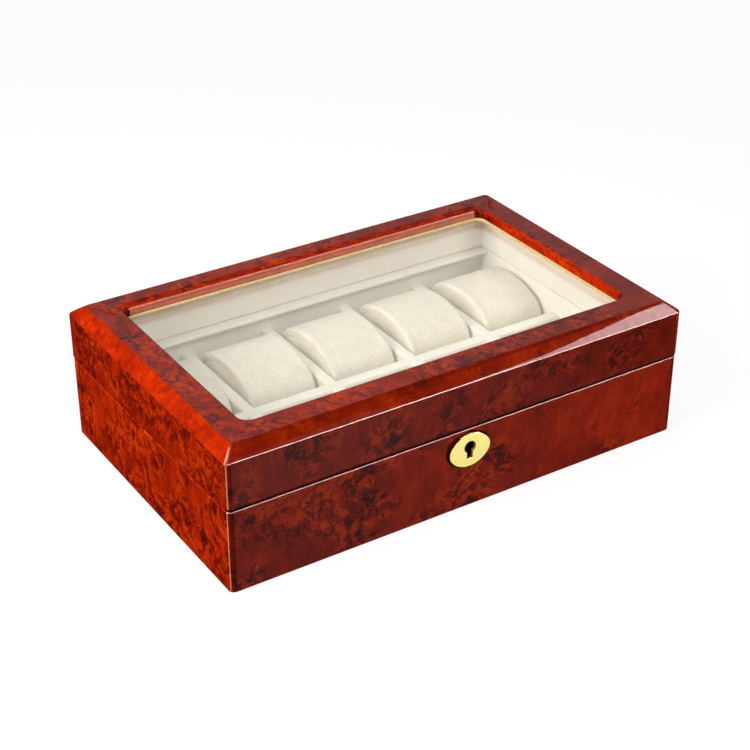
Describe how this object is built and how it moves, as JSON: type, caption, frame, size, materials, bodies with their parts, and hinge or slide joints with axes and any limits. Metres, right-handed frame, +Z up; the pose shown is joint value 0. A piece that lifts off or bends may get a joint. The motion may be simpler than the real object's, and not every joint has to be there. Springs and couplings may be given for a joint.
{
  "type": "watch box",
  "caption": "Lacquered wooden watch box with a bevelled glass lid on stop hinges, velour compartments with lift-out cushions and a front lock.",
  "frame": {"origin": "middle of the box on the surface it stands on (the footprint of the boards; the hinge heels behind stand out 1.1 mm more than the escutcheon in front)", "axes": "+X along the length to the right, +Y from the front with the keyhole to the hinged back, +Z up"},
  "size_m": [0.33, 0.2153, 0.095],
  "materials": {
    "lacquered_burl": "high-gloss polyester lacquer over stained burl veneer",
    "velour_lining": "short-pile velour",
    "cushion_velvet": "soft brushed velvet",
    "polished_brass": "polished",
    "lock_steel": "plated",
    "bottom_board": "raw fibreboard",
    "underside_felt": "felt",
    "clear_glass": "clear float glass"
  },
  "bodies": {
    "base": {"base_front_board": "lacquered_burl", "base_back_board": "lacquered_burl", "base_left_board": "lacquered_burl", "base_right_board": "lacquered_burl", "bottom_panel": "bottom_board", "underside_felt": "underside_felt", "liner_front": "velour_lining", "liner_back": "velour_lining", "liner_left": "velour_lining", "liner_right": "velour_lining", "floor_pad": "velour_lining", "long_divider": "velour_lining", "cross_divider_1": "velour_lining", "cross_divider_2": "velour_lining", "cross_divider_3": "velour_lining", "cross_divider_4": "velour_lining", "back_ledge": "velour_lining", "escutcheon": "polished_brass", "lock_case": "polished_brass", "lock_cap_plate": "polished_brass", "lock_key_pin": "lock_steel", "lock_screws": "polished_brass", "hinge_base_leaf_left": "polished_brass", "hinge_base_leaf_right": "polished_brass", "hinge_pins": "polished_brass", "hinge_base_screws": "polished_brass"},
    "lid": {"lid_front_board": "lacquered_burl", "lid_back_board": "lacquered_burl", "lid_left_board": "lacquered_burl", "lid_right_board": "lacquered_burl", "frame_rail_front": "lacquered_burl", "frame_rail_back": "lacquered_burl", "frame_rail_left": "lacquered_burl", "frame_rail_right": "lacquered_burl", "glass_pane": "clear_glass", "lid_liner_front": "velour_lining", "lid_liner_back": "velour_lining", "lid_liner_left": "velour_lining", "lid_liner_right": "velour_lining", "link_plate": "polished_brass", "link_plate_screws": "polished_brass", "hinge_lid_leaf_left": "polished_brass", "hinge_lid_leaf_right": "polished_brass", "hinge_lid_screws": "polished_brass"},
    "lock_bolt": {"lock_bolt": "lock_steel"},
    "cushion_front_1": {"cushion_front_1": "cushion_velvet"},
    "cushion_front_2": {"cushion_front_2": "cushion_velvet"},
    "cushion_front_3": {"cushion_front_3": "cushion_velvet"},
    "cushion_front_4": {"cushion_front_4": "cushion_velvet"},
    "cushion_front_5": {"cushion_front_5": "cushion_velvet"},
    "cushion_back_1": {"cushion_back_1": "cushion_velvet"},
    "cushion_back_2": {"cushion_back_2": "cushion_velvet"},
    "cushion_back_3": {"cushion_back_3": "cushion_velvet"},
    "cushion_back_4": {"cushion_back_4": "cushion_velvet"},
    "cushion_back_5": {"cushion_back_5": "cushion_velvet"}
  },
  "joints": [
    {"name": "lid_hinge", "type": "hinge", "parent": "base", "child": "lid", "pos_m": [0, 0.1056, 0.056], "axis": [-1, 0, 0], "range_deg": [0, 95]},
    {"name": "bolt_slide", "type": "slide", "parent": "base", "child": "lock_bolt", "axis": [1, 0, 0], "range_m": [0, 0.004]},
    {"name": "cushion_front_1_lift", "type": "slide", "parent": "base", "child": "cushion_front_1", "axis": [0, 0, 1], "range_m": [0, 0.026]},
    {"name": "cushion_front_2_lift", "type": "slide", "parent": "base", "child": "cushion_front_2", "axis": [0, 0, 1], "range_m": [0, 0.026]},
    {"name": "cushion_front_3_lift", "type": "slide", "parent": "base", "child": "cushion_front_3", "axis": [0, 0, 1], "range_m": [0, 0.026]},
    {"name": "cushion_front_4_lift", "type": "slide", "parent": "base", "child": "cushion_front_4", "axis": [0, 0, 1], "range_m": [0, 0.026]},
    {"name": "cushion_front_5_lift", "type": "slide", "parent": "base", "child": "cushion_front_5", "axis": [0, 0, 1], "range_m": [0, 0.026]},
    {"name": "cushion_back_1_lift", "type": "slide", "parent": "base", "child": "cushion_back_1", "axis": [0, -0.225, 0.9744], "range_m": [0, 0.026]},
    {"name": "cushion_back_2_lift", "type": "slide", "parent": "base", "child": "cushion_back_2", "axis": [0, -0.225, 0.9744], "range_m": [0, 0.026]},
    {"name": "cushion_back_3_lift", "type": "slide", "parent": "base", "child": "cushion_back_3", "axis": [0, -0.225, 0.9744], "range_m": [0, 0.026]},
    {"name": "cushion_back_4_lift", "type": "slide", "parent": "base", "child": "cushion_back_4", "axis": [0, -0.225, 0.9744], "range_m": [0, 0.026]},
    {"name": "cushion_back_5_lift", "type": "slide", "parent": "base", "child": "cushion_back_5", "axis": [0, -0.225, 0.9744], "range_m": [0, 0.026]}
  ]
}
